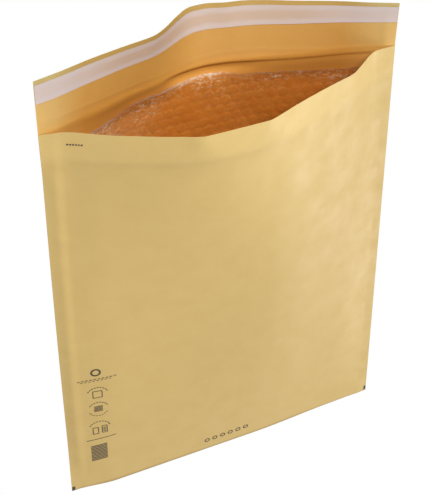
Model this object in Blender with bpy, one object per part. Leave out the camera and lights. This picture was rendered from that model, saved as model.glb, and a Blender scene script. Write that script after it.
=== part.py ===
"""A padded envelope of brown paper with a bubble film lining, lying open on its back.

The paper is one sheet, folded across the bottom, with its two long sides glued. Its back panel runs on
past the mouth as a flap, which carries a stripe of glue under a peel-off liner. X runs across the
envelope, Y from the bottom fold to the flap, and Z up from the surface that it lies on.
"""

import math

import bmesh
import bpy
import numpy as np

# The paper, laid flat
WIDTH = 0.370
PANEL_LENGTH = 0.480
FLAP_LENGTH = 0.050
PAPER_THICKNESS = 0.0004
SEAL_WIDTH = 0.010
PANEL_GAP = 0.0003

# How the filled sides swell beside the seals and round the bottom fold
PAD_HALF = 0.0041
PAD_SWELL = 0.016
PAD_LOSS_AT_MOUTH = 0.5
FOLD_STEPS = 4

# How far the pocket stands open, measured at its mouth
MOUTH_CHORD = 0.3428
MOUTH_SEAM_LEFT = 0.0688
MOUTH_SEAM_RIGHT = 0.0638
MOUTH_BULGE = 0.0595
AXIS_TILT = math.radians(6.2)

# The flap, bent at its crease
CREASE_LIFT = 0.013
CREASE_LIFT_START = 0.75
CREASE_BLEND_START = 0.93
FLAP_DROOP = math.radians(13.0)
FLAP_NARROWING = 0.0058
FLAP_CHORD = MOUTH_CHORD - FLAP_NARROWING
FLAP_SEAM_LEFT = 0.0625
FLAP_SEAM_RIGHT = 0.0718
FLAT_SHARE = 0.35

# The bubble film
FILM_GAP = 0.0003
LINING_THICKNESS = 0.0032
BUBBLE_HEIGHT = 0.0036
FILM_BASE = 0.0006
BUBBLE_PITCH = 0.0135
BUBBLE_BAND_LENGTH = 0.140
LINING_MARGIN = 0.014
LINING_INSET = 0.004
LINING_SEAL = 0.005

# The glue stripe and its liner
LINER_MARGIN = 0.004
LINER_WIDTH = 0.0205
GLUE_WIDTH = 0.012
GLUE_THICKNESS = 0.0003
LINER_THICKNESS = 0.00025
STRIP_GAP = 0.0003

LOWER_ROWS = 7
FLAP_ROWS = 3

# Each section is a share of the way from the left seam, -1, to the right seam, 1, with the share of the
# height that the paper reaches there.
FRONT_AT_MOUTH = (
    (-1, 0), (-0.93, 0.02), (-0.64, 0.45), (-0.385, 0.82), (-0.25, 0.975), (0.07, 1), (0.26, 0.78),
    (0.5, 0.565), (0.63, 0.46), (0.73, 0.35), (0.83, 0.14), (0.92, 0.02), (1, 0),
)
BACK_IN_POCKET = (
    (-1, 0), (-0.94, 0.02), (-0.733, 0.27), (-0.407, 0.82), (-0.186, 0.965), (0.05, 1), (0.233, 0.89),
    (0.413, 0.69), (0.675, 0.43), (0.85, 0.2), (0.94, 0.03), (1, 0),
)
BACK_AT_CREASE = (
    (-1, 0), (-0.94, 0.02), (-0.735, 0.25), (-0.41, 0.69), (-0.26, 0.8), (-0.09, 0.97), (0, 1),
    (0.08, 0.98), (0.28, 0.83), (0.485, 0.6), (0.695, 0.38), (0.905, 0.12), (0.95, 0.03), (1, 0),
)
FLAP_AT_TOP = (
    (-1, 0), (-0.86, 0.1), (-0.68, 0.25), (-0.315, 0.47), (-0.255, 0.56), (-0.12, 0.85), (-0.053, 0.97),
    (-0.01, 1), (0.04, 1), (0.166, 0.91), (0.25, 0.87), (0.52, 0.57), (0.75, 0.305), (0.86, 0.16), (1, 0),
)


def smooth_curve(points, at):
    """Height at each place of a cubic through the points that never overshoots them."""
    x, y = np.array(points, float).T
    step = np.diff(x)
    slope = np.diff(y) / step
    tangent = np.concatenate([slope[:1], np.zeros(len(x) - 2), slope[-1:]])
    same_way = slope[:-1] * slope[1:] > 0
    tangent[1:-1][same_way] = 2 / (1 / slope[:-1][same_way] + 1 / slope[1:][same_way])
    cell = np.clip(np.searchsorted(x, at) - 1, 0, len(step) - 1)
    t = (at - x[cell]) / step[cell]
    start, end = y[cell], y[cell + 1]
    rise_start, rise_end = tangent[cell] * step[cell], tangent[cell + 1] * step[cell]
    return (
        start * (1 + 2 * t) * (1 - t) ** 2 + end * t**2 * (3 - 2 * t)
        + rise_start * t * (1 - t) ** 2 - rise_end * t**2 * (1 - t)
    )


def smooth_step(value):
    """0 below 0, 1 above 1, and an S-curve between."""
    t = np.clip(value, 0, 1)
    return t * t * (3 - 2 * t)


def section(points, chord, height, across):
    """Place along the chord and share of the height, at each share of the paper's own width."""
    chord_share = np.linspace(-1, 1, 801)
    heights = smooth_curve(points, chord_share)
    steps = np.hypot(np.diff(chord_share) * chord / 2, np.diff(heights) * height)
    length = np.concatenate([[0], np.cumsum(steps)])
    found = np.interp(across, 2 * length / length[-1] - 1, chord_share)
    return found, smooth_curve(points, found)


def column_places():
    """Places across the flat paper: its edges, the seals, the lining's own seals, and a row of bubbles."""
    half = WIDTH / 2
    lining_crotch = half - SEAL_WIDTH - LINING_INSET - LINING_SEAL
    count = max(4, round(2 * lining_crotch / BUBBLE_PITCH))
    inner = np.linspace(-lining_crotch, lining_crotch, count + 1)
    left = np.array([-half, SEAL_WIDTH - half, SEAL_WIDTH + LINING_INSET - half])
    return np.concatenate([left, inner, -left[::-1]])


def row_places():
    """Places along a panel: a few long rows, the band of bubbles and the bare paper at the mouth."""
    lining_top = PANEL_LENGTH - LINING_MARGIN
    band = max(2, round(BUBBLE_BAND_LENGTH / BUBBLE_PITCH))
    lower = np.linspace(0, lining_top - BUBBLE_BAND_LENGTH, LOWER_ROWS + 1)
    upper = np.linspace(lining_top - BUBBLE_BAND_LENGTH, lining_top, band + 1)
    return np.concatenate([lower, upper[1:], [PANEL_LENGTH]]), len(lower) - 1


def flap_places():
    """Places along the flap, with a row at each edge of the liner and of the glue."""
    liner_top = FLAP_LENGTH - LINER_MARGIN
    liner_bottom = liner_top - LINER_WIDTH
    spare = (LINER_WIDTH - GLUE_WIDTH) / 2
    bare = np.linspace(0, liner_bottom, FLAP_ROWS + 1)
    return np.concatenate([bare, [liner_bottom + spare, liner_top - spare, liner_top, FLAP_LENGTH]])


def pad_half(across, along):
    """Half of the packed thickness: the paper, and film that swells beside the seals."""
    inside = WIDTH / 2 - SEAL_WIDTH - np.abs(across)
    swell = np.sqrt(1 - (1 - np.clip(inside / PAD_SWELL, 0, 1)) ** 2)
    share = 1 - PAD_LOSS_AT_MOUTH * (along / PANEL_LENGTH) ** 2
    return PAPER_THICKNESS + PAD_HALF * share * swell


def seam_height(chord_share, along, left, right):
    """Height of a straight line from seam to seam, which climbs from the bottom fold to the mouth."""
    at_fold = PAPER_THICKNESS + PAD_HALF
    at_mouth = left + (right - left) * (chord_share + 1) / 2
    return at_fold + (at_mouth - at_fold) * along / PANEL_LENGTH


def seam_depth():
    """Length in plan of the side seams, which slope up from the surface below."""
    axis_height = PANEL_LENGTH * math.sin(AXIS_TILT) + PAPER_THICKNESS + PAD_HALF
    seam = (MOUTH_SEAM_LEFT + MOUTH_SEAM_RIGHT) / 2
    return PANEL_LENGTH * math.cos(AXIS_TILT) - (seam - axis_height) * math.sin(AXIS_TILT)


def front_surface(across, along):
    """Outer face of the front panel, which bulges upwards towards the mouth."""
    chord_share, bulge = section(FRONT_AT_MOUTH, MOUTH_CHORD, MOUTH_BULGE, across / (WIDTH / 2))
    mouth = along / PANEL_LENGTH
    x = across + (chord_share * MOUTH_CHORD / 2 - across) * mouth
    seam = seam_height(chord_share, along, MOUTH_SEAM_LEFT, MOUTH_SEAM_RIGHT)
    z = seam + MOUTH_BULGE * bulge * mouth + pad_half(across, along)
    y = seam_depth() * mouth - MOUTH_BULGE * bulge * mouth * math.sin(AXIS_TILT)
    return np.stack([x, y, z], axis=-1)


def back_surface(across, along):
    """Outer face of the back panel, flat on the surface below down its middle."""
    share = across / (WIDTH / 2)
    chord_share, pocket = section(BACK_IN_POCKET, MOUTH_CHORD, MOUTH_SEAM_LEFT, share)
    crease_share, crease = section(BACK_AT_CREASE, MOUTH_CHORD, MOUTH_SEAM_LEFT, share)
    mouth = along / PANEL_LENGTH
    blend = smooth_step((mouth - CREASE_BLEND_START) / (1 - CREASE_BLEND_START))
    chord_share = chord_share + (crease_share - chord_share) * blend
    depth = pocket + (crease - pocket) * blend
    x = across + (chord_share * MOUTH_CHORD / 2 - across) * mouth
    flat = FLAT_SHARE * (1 - mouth)
    climb = np.clip((1 - depth - flat) / (1 - flat), 0, 1) ** (1 + FLAT_SHARE * (1 - blend))
    lift = CREASE_LIFT * smooth_step((mouth - CREASE_LIFT_START) / (1 - CREASE_LIFT_START))
    middle = pad_half(0 * across, along) + lift
    seam = seam_height(chord_share, along, MOUTH_SEAM_LEFT, MOUTH_SEAM_RIGHT)
    z = middle + (seam - middle) * climb - pad_half(across, along)
    return np.stack([x, seam_depth() * mouth + 0 * across, z], axis=-1)


def flap_surface(across, along):
    """Outer face of the flap, which bends down from its crease to the surface below."""
    start = back_surface(across, np.full_like(across, PANEL_LENGTH))
    chord_share, depth = section(FLAP_AT_TOP, FLAP_CHORD, FLAP_SEAM_LEFT, across / (WIDTH / 2))
    seam = FLAP_SEAM_LEFT + (FLAP_SEAM_RIGHT - FLAP_SEAM_LEFT) * (chord_share + 1) / 2
    x = chord_share * FLAP_CHORD / 2
    z = seam * (1 - depth)
    middle = (FLAP_SEAM_LEFT + FLAP_SEAM_RIGHT) / 4
    y = seam_depth() + FLAP_LENGTH * math.cos(FLAP_DROOP) - (z - middle) * math.sin(AXIS_TILT)
    end = np.stack([x, y, z], axis=-1)
    return start + (end - start) * (along / FLAP_LENGTH)[..., None]


def fold_surface(across, turn):
    """Outer face of the bottom fold, from the front panel, 0, round to the back panel, 1."""
    half = pad_half(across, 0 * across)
    angle = math.pi * (0.5 - turn)
    height = PAPER_THICKNESS + PAD_HALF + half * np.sin(angle)
    return np.stack([across, -half * np.cos(angle), height], axis=-1)


def outer_faces():
    """Outer face of the whole sheet on one grid: down the front, round the fold, up the back and flap."""
    columns, (rows, _), flap = column_places(), row_places(), flap_places()
    turns = np.arange(1, FOLD_STEPS) / FOLD_STEPS
    front = front_surface(*np.meshgrid(columns, rows[::-1]))
    fold = fold_surface(*np.meshgrid(columns, turns))
    back = back_surface(*np.meshgrid(columns, rows))
    tail = flap_surface(*np.meshgrid(columns, flap[1:]))
    return np.concatenate([front, fold, back, tail])


def inward(grid):
    """Unit normals of a grid of points that face into the pocket."""
    along, across = np.gradient(grid, axis=0), np.gradient(grid, axis=1)
    normal = np.cross(across, along)
    return normal / np.linalg.norm(normal, axis=-1, keepdims=True)


class Mesher:
    """Collects points and faces for one closed body."""

    def __init__(self):
        self.points = []
        self.faces = []

    def add(self, points):
        """Adds an array of points and gives the array of their numbers."""
        flat = np.asarray(points, float).reshape(-1, 3)
        first = len(self.points)
        self.points.extend(flat.tolist())
        return np.arange(first, first + len(flat)).reshape(np.shape(points)[:-1])

    def face(self, *corners):
        """Adds a face, or nothing if fewer than three of its corners differ."""
        ring = [int(c) for n, c in enumerate(corners) if c != corners[n - 1]]
        if len(set(ring)) > 2:
            self.faces.append(ring)

    def quads(self, grid):
        """Adds a face in each cell of a grid of point numbers."""
        for low, high in zip(grid[:-1], grid[1:]):
            for n in range(len(low) - 1):
                self.face(low[n], low[n + 1], high[n + 1], high[n])

    def bubbles(self, grid, normals, height):
        """Adds a four-sided bubble on each cell of a grid of point numbers."""
        at = np.array(self.points)[grid]
        middle = (at[:-1, :-1] + at[1:, :-1] + at[:-1, 1:] + at[1:, 1:]) / 4
        rise = (normals[:-1, :-1] + normals[1:, 1:]) / 2
        peaks = self.add(middle + rise * height)
        for r, c in np.ndindex(peaks.shape):
            ring = (grid[r, c], grid[r, c + 1], grid[r + 1, c + 1], grid[r + 1, c])
            for n in range(4):
                self.face(ring[n], ring[n - 3], peaks[r, c])

    def build(self, name, material):
        """Makes the object, with its faces pointing out."""
        mesh = bpy.data.meshes.new(name)
        mesh.from_pydata(self.points, [], self.faces)
        work = bmesh.new()
        work.from_mesh(mesh)
        unused = [vertex for vertex in work.verts if not vertex.link_faces]
        bmesh.ops.delete(work, geom=unused, context="VERTS")
        bmesh.ops.triangulate(work, faces=work.faces)
        bmesh.ops.recalc_face_normals(work, faces=work.faces)
        work.to_mesh(mesh)
        work.free()
        mesh.materials.append(material)
        obj = bpy.data.objects.new(name, mesh)
        bpy.context.scene.collection.objects.link(obj)
        return obj


def make_material(name, colour, roughness, alpha=1.0):
    """A plain finish of one colour."""
    material = bpy.data.materials.new(name)
    material.use_nodes = True
    shader = material.node_tree.nodes["Principled BSDF"]
    shader.inputs["Base Color"].default_value = (*colour, 1)
    shader.inputs["Roughness"].default_value = roughness
    shader.inputs["Metallic"].default_value = 0
    shader.inputs["Alpha"].default_value = alpha
    return material


def shared_edges(inner, rows, middle):
    """Makes the front and back of a pocket meet along its two sides, at the points in the middle."""
    for side in (0, -1):
        inner[:rows, side] = middle[::-1, side]
        inner[rows : len(inner) - rows, side] = middle[0, side]
        inner[len(inner) - rows :, side] = middle[:, side]


def close_side(mesher, outer, rows, side):
    """Joins the front's side edge to the back's, and closes the end of the bottom fold."""
    front, back = outer[:rows, side][::-1], outer[len(outer) - rows :, side]
    for n in range(rows - 1):
        mesher.face(front[n], back[n], back[n + 1], front[n + 1])
    mesher.face(*outer[rows - 1 : len(outer) - rows + 1, side])


def paper_panel(face, normals, glued=True):
    """One panel of the paper: its outer face and, a paper's thickness in, its inner face. Along the glued
    sides the two panels stay half a gap each from the plane where they meet."""
    depth = np.full(face.shape[:2], PAPER_THICKNESS)
    if glued:
        depth[:, :2] -= PANEL_GAP / 2
        depth[:, -2:] -= PANEL_GAP / 2
    mesher = Mesher()
    skin = mesher.add(face)
    lined = mesher.add(face + normals * depth[..., None])
    mesher.quads(skin)
    mesher.quads(lined)
    for edge in (0, -1):
        mesher.quads(np.stack([skin[edge], lined[edge]]))
        mesher.quads(np.stack([skin[:, edge], lined[:, edge]]))
    return mesher


def paper_panels(outer):
    """The front, the back with the bottom fold, and the flap, which all belong to one folded sheet. They
    are cut apart at the bottom fold and at the crease, so that each is an open, nearly flat shape."""
    columns, (rows, _), flap = column_places(), row_places(), flap_places()
    normals = inward(outer)
    front_end, back_end = len(rows), len(outer) - len(flap) + 1
    front, back, tail = outer[:front_end].copy(), outer[front_end - 1 : back_end], outer[back_end - 1 :].copy()
    front[-1] = front_surface(columns, np.full_like(columns, PANEL_GAP))
    tail[0] = flap_surface(columns, np.full_like(columns, PANEL_GAP))
    return (
        paper_panel(front, normals[:front_end]),
        paper_panel(back, normals[front_end - 1 : back_end]),
        paper_panel(tail, normals[back_end - 1 :], glued=False),
    )


def bubble_lining(outer):
    """The film: a smooth web against the paper, with bubbles that face into the pocket."""
    all_rows, band_start = row_places()
    rows = len(all_rows) - 1
    body = 2 * rows + FOLD_STEPS - 1
    normals = inward(outer)
    depth = PAPER_THICKNESS + FILM_GAP
    web = (outer + normals * depth)[1 : 1 + body, 2:-2]
    facing = normals[1 : 1 + body, 2:-2]
    mesher = Mesher()
    skin = mesher.add(web)
    thickness = np.full(body, LINING_THICKNESS)
    band = rows - 1 - band_start
    thickness[:band] = FILM_BASE
    thickness[body - band :] = FILM_BASE
    pocket = (web + facing * thickness[:, None, None])[:, 1:-1]
    middle = (web[:rows][::-1] + web[body - rows :]) / 2
    straight = [*range(rows), *range(body - rows, body)]
    lined = mesher.add(pocket[straight])
    seam = mesher.add(middle[:, 1:-1])
    shared_edges(lined, rows, seam)
    mesher.quads(skin)
    fronts, backs = slice(0, band), slice(2 * rows - band, 2 * rows)
    inner_normals = facing[straight, 1:-1]
    mesher.quads(lined[band - 1 : 2 * rows - band + 1])
    for part in (fronts, backs):
        grid, directions = lined[part], inner_normals[part]
        mesher.bubbles(grid[:, 1:-1], directions[:, 1:-1], BUBBLE_HEIGHT - FILM_BASE)
        mesher.quads(grid[:, :2])
        mesher.quads(grid[:, -2:])
    for end, rim in ((0, lined[0]), (-1, lined[-1])):
        mesher.quads(np.vstack([skin[end, 1:-1], rim]))
    for side, next_in in ((0, 1), (-1, -2)):
        close_side(mesher, skin, rows, side)
        mesher.face(
            skin[0, side], skin[0, next_in], lined[0, side], skin[-1, next_in], skin[-1, side]
        )
    return mesher


def strip_on_flap(outer, first, last, lowest, thickness):
    """A thin band along the flap's inner face, from one row of the flap to another."""
    rows = slice(len(outer) - len(flap_places()) + first, len(outer) - len(flap_places()) + last + 1)
    face, normals = outer[rows], inward(outer)[rows]
    mesher = Mesher()
    under = mesher.add(face + normals * lowest)
    over = mesher.add(face + normals * (lowest + thickness))
    mesher.quads(under)
    mesher.quads(over)
    for edge in (0, -1):
        mesher.quads(np.stack([under[edge], over[edge]]))
        mesher.quads(np.stack([under[:, edge], over[:, edge]]))
    return mesher


def centre_on_origin(objects):
    """Moves the meshes so that the origin is in the middle of the base of the whole envelope."""
    points = np.array([v.co[:] for obj in objects for v in obj.data.vertices])
    low, high = points.min(axis=0), points.max(axis=0)
    shift = np.array([(low[0] + high[0]) / 2, (low[1] + high[1]) / 2, low[2]])
    for obj in objects:
        for vertex in obj.data.vertices:
            vertex.co = vertex.co[:] - shift


def make_envelope():
    for obj in list(bpy.data.objects):
        bpy.data.objects.remove(obj, do_unlink=True)
    outer = outer_faces()
    glue_bottom = PAPER_THICKNESS + STRIP_GAP
    liner_bottom = glue_bottom + GLUE_THICKNESS + STRIP_GAP
    glue_row, liner_row = FLAP_ROWS + 1, FLAP_ROWS
    kraft = make_material("kraft_paper", (0.62, 0.44, 0.17), 0.75)
    film = make_material("bubble_film", (0.80, 0.66, 0.46), 0.15, 0.6)
    glue = make_material("hot_melt_glue", (0.72, 0.50, 0.30), 0.35)
    release = make_material("release_film", (0.78, 0.67, 0.62), 0.3)
    front, back, tail = paper_panels(outer)
    parts = [
        front.build("front_panel", kraft),
        back.build("back_panel", kraft),
        tail.build("closing_flap", kraft),
        bubble_lining(outer).build("bubble_lining", film),
        strip_on_flap(outer, glue_row, glue_row + 1, glue_bottom, GLUE_THICKNESS).build(
            "adhesive_strip", glue
        ),
        strip_on_flap(outer, liner_row, liner_row + 3, liner_bottom, LINER_THICKNESS).build(
            "release_liner", release
        ),
    ]
    centre_on_origin(parts)


make_envelope()
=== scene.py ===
"""The looks of a padded envelope: one folded sheet of brown kraft paper, lined with bubble film, with a
stripe of glue under a peel-off liner along its flap. It lies open on its back on a white floor."""

import math

import bpy
import numpy as np
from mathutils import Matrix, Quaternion, Vector


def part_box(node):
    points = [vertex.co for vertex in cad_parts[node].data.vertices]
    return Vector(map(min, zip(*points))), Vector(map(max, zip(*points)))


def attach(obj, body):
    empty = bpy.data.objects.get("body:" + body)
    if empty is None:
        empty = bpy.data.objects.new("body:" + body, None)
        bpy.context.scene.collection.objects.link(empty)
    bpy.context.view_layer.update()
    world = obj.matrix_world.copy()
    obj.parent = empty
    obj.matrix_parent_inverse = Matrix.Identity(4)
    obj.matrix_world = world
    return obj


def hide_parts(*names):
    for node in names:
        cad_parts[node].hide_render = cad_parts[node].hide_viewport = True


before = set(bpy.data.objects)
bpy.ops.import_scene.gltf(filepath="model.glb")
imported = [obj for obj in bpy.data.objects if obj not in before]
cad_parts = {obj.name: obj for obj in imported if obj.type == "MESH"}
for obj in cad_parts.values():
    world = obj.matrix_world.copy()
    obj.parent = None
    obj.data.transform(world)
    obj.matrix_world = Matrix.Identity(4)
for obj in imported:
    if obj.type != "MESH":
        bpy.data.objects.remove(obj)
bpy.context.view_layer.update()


# Camera
# A short telephoto view from beyond the flap and above, turned so that the flap is at the picture's top.
CAMERA_PLACE = Vector((-0.3429, 0.6614, 0.8904))
CAMERA_AIM = Vector((-0.0115, 0.0364, 0.0480))
CAMERA_ROLL = math.radians(141.7)
CAMERA_LENS = 82.2

camera_data = bpy.data.cameras.new("camera")
camera_data.lens = CAMERA_LENS
camera = bpy.data.objects.new("camera", camera_data)
camera.location = CAMERA_PLACE
aim = (CAMERA_AIM - CAMERA_PLACE).to_track_quat("-Z", "Y")
camera.rotation_euler = (aim @ Quaternion((0, 0, 1), CAMERA_ROLL)).to_euler()
bpy.context.scene.collection.objects.link(camera)
bpy.context.scene.camera = camera


# Outer paper
# One sheet of golden machine-glazed kraft, folded across the bottom and glued in a flat seal down each
# side. The mouth is pulled open, so the front bulges up, and the back runs on as the bent-back flap.
WIDTH = 0.370
PANEL_LENGTH = 0.480
FLAP_LENGTH = 0.050
PAPER_THICKNESS = 0.0004
SHEET_THICKNESS = 0.00033
SEAL_WIDTH = 0.010
SEAL_LINE = WIDTH / 2 - SEAL_WIDTH
PAD_HALF = 0.0041
PAD_STEP = 0.12
PAD_STEP_WIDTH = 0.004
PAD_SWELL = 0.042
PAD_LOSS_AT_MOUTH = 0.5
PRESSED_LOSS = 0.8
PRESSED_ACROSS = (0.035, 0.145)
PRESSED_ALONG = 0.16
SEAL_DROOP = 0.0028
DROOP_SHIFT = 0.5
DROOP_FROM_FOLD = 0.09
DROOP_FROM_MOUTH = 0.05
SEAL_CREST = 0.0011
CREST_INSIDE = 0.002
CREST_WIDTH = 0.005
CREST_FROM_FOLD = 0.05
LEFT_PUCKERS = ((0.011, 0.00045, 1.0), (0.005, 0.00027, 1.0))
RIGHT_PUCKERS = ((0.009, 0.000585, 1.0), (0.005, 0.0004095, 1.0))
PUCKER_REACH_IN = 0.010
PUCKER_REACH_OUT = 0.004
DENTS = ((0.085, 0.0005, 1.0), (0.034, 0.00018, 0.7), (0.012, 0.00006, 1.0))
DENT_MARGIN = 0.03
MOUTH_CHORD = 0.3428
MOUTH_SHIFT = -0.0012
LEFT_BOW = -0.0012
MOUTH_SEAM_LEFT = 0.0688
MOUTH_SEAM_RIGHT = 0.0638
MOUTH_BULGE = 0.0595
MOUTH_SECTION = (0.42, 1.0)
AXIS_TILT = math.radians(6.2)
EDGE_BLUR = 0.20
EDGE_BLUR_LENGTH = 0.050
LINING_RISE = 0.0009
RISE_STARTS = (0.445, 0.452)
RISE_ENDS = (0.452, 0.486)
RISE_FADES = (-0.03, 0.04)
RISE_MARGIN = 0.020
FLAT_SHARE = 0.35
OFF_FLOOR = 0.004
CREASE_SECTION = (0.93, 1.0)
CREASE_LIFT = 0.013
CREASE_LIFTS = (0.75, 1.0)
BACK_BEND = 0.475
BEND_LINE = (
    (-0.185, 0.475), (-0.06, 0.478), (0.0, 0.478), (0.06, 0.4762), (0.12, 0.475), (0.185, 0.475),
)
BEND_MARGIN = 0.03
BEND_SHARPENS = (-0.045, -0.025)
BEND_EASES = (0.015, 0.075)
TUCK_DEPTH = 0.0034
TUCK_EDGE = (-0.001, 0.002)
TUCK_REACH = 0.0060
TUCK_EASING = 0.6
HOLLOW_DEPTH = 0.0020
HOLLOW_BELOW = 0.0060
HOLLOW_WIDTH = 0.0040
RIPPLE_LINE = (
    (-0.185, 0.472), (-0.15, 0.470), (-0.11, 0.467), (-0.06, 0.470), (-0.03, 0.474), (0.185, 0.475),
)
RIPPLE_DEPTH = 0.0005
RIPPLE_WIDTH = 0.0045
RIPPLE_CREST = 0.0004
RIPPLE_CREST_ABOVE = 0.011
RIPPLE_CREST_WIDTH = 0.005
FLAP_DROOP = math.radians(13.0)
FLAP_CHORD = 0.337
FLAP_SEAM_LEFT = 0.0625
FLAP_SEAM_RIGHT = 0.0718
FLAP_DENTS = 0.5
FLAP_DENTS_FROM = 0.01
SCORE_LINE = (
    (-0.185, 0.011), (-0.15, 0.0095), (-0.085, 0.006), (-0.02, 0.0055), (0.035, 0.0075), (0.13, 0.002),
    (0.185, 0.001),
)
SCORE_HEIGHT = 0.0002
SCORE_WIDTH = 0.0016
FOLD_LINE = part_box("back_panel")[0][1] + PAPER_THICKNESS + PAD_HALF
SEAM_LENGTH = (
    PANEL_LENGTH * math.cos(AXIS_TILT)
    + (PANEL_LENGTH * math.sin(AXIS_TILT) + PAPER_THICKNESS + PAD_HALF) * math.sin(AXIS_TILT)
    - (MOUTH_SEAM_LEFT + MOUTH_SEAM_RIGHT) / 2 * math.sin(AXIS_TILT)
)
FOLD_PATH = 0.009
SHEET_END = 2 * PANEL_LENGTH + FOLD_PATH + FLAP_LENGTH
PAPER_CELL = 0.0031
SIDE_LINE = WIDTH / 2 - 0.030
SEAL_CELLS = 4
SIDE_CELLS = 10
FOLD_CELLS = 8
BEND_BAND = 0.012
BEND_ROWS = (-0.009, -0.006, -0.004, -0.002, -0.0005, 0.0005, 0.0015, 0.0025, 0.0035)
SCORE_CELL = 0.0014
SCORE_ROWS = 9
FLAP_CELLS = 12
RIM_ANGLE = math.radians(50)
NOISE_TABLE = 64
SECTION_POINTS = 1601
FRONT_AT_MOUTH = (
    (-1, 0), (-0.93, 0.02), (-0.64, 0.46), (-0.385, 0.83), (-0.25, 0.98), (0.07, 1), (0.15, 0.93),
    (0.26, 0.8), (0.5, 0.56), (0.58, 0.49), (0.618, 0.46), (0.66, 0.415), (0.725, 0.285), (0.786, 0.155),
    (0.843, 0.05), (0.88, 0.004), (0.92, 0), (1, 0),
)
FRONT_IN_POCKET = (
    (-1, 0), (-0.94, 0.02), (-0.85, 0.12), (-0.5, 0.43), (-0.1, 0.78), (0.12, 0.95), (0.25, 1),
    (0.37, 0.94), (0.6, 0.62), (0.8, 0.31), (0.94, 0.05), (1, 0),
)
BACK_IN_POCKET = (
    (-1, 0), (-0.94, 0.02), (-0.733, 0.27), (-0.407, 0.82), (-0.186, 0.965), (0.05, 1), (0.233, 0.89),
    (0.413, 0.69), (0.675, 0.43), (0.85, 0.2), (0.94, 0.03), (1, 0),
)
BACK_AT_CREASE = (
    (-1, 0), (-0.94, 0.02), (-0.735, 0.25), (-0.41, 0.69), (-0.26, 0.8), (-0.09, 0.97), (0, 1),
    (0.08, 0.98), (0.28, 0.81), (0.485, 0.57), (0.695, 0.35), (0.905, 0.1), (0.95, 0.03), (1, 0),
)
FLAP_AT_TOP = (
    (-1, 0), (-0.86, 0.1), (-0.68, 0.25), (-0.49, 0.37), (-0.315, 0.47), (-0.255, 0.56), (-0.12, 0.85),
    (-0.053, 0.97), (-0.01, 1), (0.04, 1), (0.166, 0.91), (0.25, 0.87), (0.52, 0.57), (0.75, 0.305),
    (0.86, 0.16), (1, 0),
)


def smooth_curve(points, at):
    """A cubic through the points that never overshoots them: harmonic mean of the slopes at each point."""
    x, y = np.array(points, float).T
    step = np.diff(x)
    slope = np.diff(y) / step
    tangent = np.concatenate([slope[:1], np.zeros(len(x) - 2), slope[-1:]])
    same_way = slope[:-1] * slope[1:] > 0
    tangent[1:-1][same_way] = 2 / (1 / slope[:-1][same_way] + 1 / slope[1:][same_way])
    cell = np.clip(np.searchsorted(x, at) - 1, 0, len(step) - 1)
    t = (at - x[cell]) / step[cell]
    rise_start, rise_end = tangent[cell] * step[cell], tangent[cell + 1] * step[cell]
    return (
        y[cell] * (1 + 2 * t) * (1 - t) ** 2 + y[cell + 1] * t**2 * (3 - 2 * t)
        + rise_start * t * (1 - t) ** 2 - rise_end * t**2 * (1 - t)
    )


def smooth_step(value):
    """0 below 0, 1 above 1, and three squares less two cubes between."""
    t = np.clip(value, 0, 1)
    return t * t * (3 - 2 * t)


def smooth_ramp(value, start, end):
    """The S-curve of smooth_step, stretched to run from 0 at the start to 1 at the end."""
    return smooth_step((value - start) / (end - start))


def bell(offset, width):
    """1 at no offset, falling to both sides: the exponential of minus the square of offset over width."""
    return np.exp(-((offset / width) ** 2))


def soft_noise(x, y, cell, seed):
    """Random heights from -1 to 1 at the corners of square cells, blended by an S-curve inside each."""
    table = np.random.default_rng(seed).uniform(-1, 1, (NOISE_TABLE, NOISE_TABLE))
    column, row = np.floor(x / cell).astype(int), np.floor(y / cell).astype(int)
    across, up = smooth_step(x / cell - column), smooth_step(y / cell - row)
    left, right = column % NOISE_TABLE, (column + 1) % NOISE_TABLE
    bottom, top = row % NOISE_TABLE, (row + 1) % NOISE_TABLE
    low = table[bottom, left] * (1 - across) + table[bottom, right] * across
    high = table[top, left] * (1 - across) + table[top, right] * across
    return low * (1 - up) + high * up


def layered_noise(x, y, layers, seed):
    """A sum of soft noises with a seed each. A layer gives its cell, its height and a factor for y."""
    total = 0
    for number, (cell, height, factor) in enumerate(layers):
        total = total + height * soft_noise(x, y * factor, cell, seed + number)
    return total


def section(points, chord, height, share, blur=0.0):
    """Place along the chord and share of the height at each share of the paper's width, by arc length.
    With a blur, the height is the mean at five places up to that far to each side."""
    chord_share = np.linspace(-1, 1, SECTION_POINTS)
    heights = smooth_curve(points, chord_share)
    steps = np.hypot(np.diff(chord_share) * chord / 2, np.diff(heights) * height)
    length = np.concatenate([[0], np.cumsum(steps)])
    found = np.interp(share, 2 * length / length[-1] - 1, chord_share)
    blur = blur * (1 - found**2)
    around = [np.interp(found + blur * offset, chord_share, heights) for offset in (-1, -0.5, 0, 0.5, 1)]
    return found, sum(around) / len(around)


def pad_half(across, along):
    """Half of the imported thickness: a small step at each seal's inner line and an S-curve from there,
    less with the square of the way to the mouth, and pressed flat at the right end of the bottom fold."""
    inside = SEAL_LINE - np.abs(across)
    swell = smooth_step(PAD_STEP + (1 - PAD_STEP) * inside / PAD_SWELL)
    swell = swell * smooth_step(inside / PAD_STEP_WIDTH)
    share = 1 - PAD_LOSS_AT_MOUTH * (along / PANEL_LENGTH) ** 2
    pressed = PRESSED_LOSS * smooth_ramp(across, *PRESSED_ACROSS) * (1 - smooth_step(along / PRESSED_ALONG))
    return PAPER_THICKNESS + PAD_HALF * share * swell * (1 - pressed)


def seal_droop(across, along):
    """How far the left seal hangs: a straight slope from its inner line to its edge, which eases to none
    at the two ends of the seal."""
    slope = np.clip((-across - SEAL_LINE) / SEAL_WIDTH, 0, 1)
    from_fold = smooth_step(along / DROOP_FROM_FOLD)
    from_mouth = smooth_step((PANEL_LENGTH - along) / DROOP_FROM_MOUTH)
    return SEAL_DROOP * slope * from_fold * from_mouth


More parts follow.
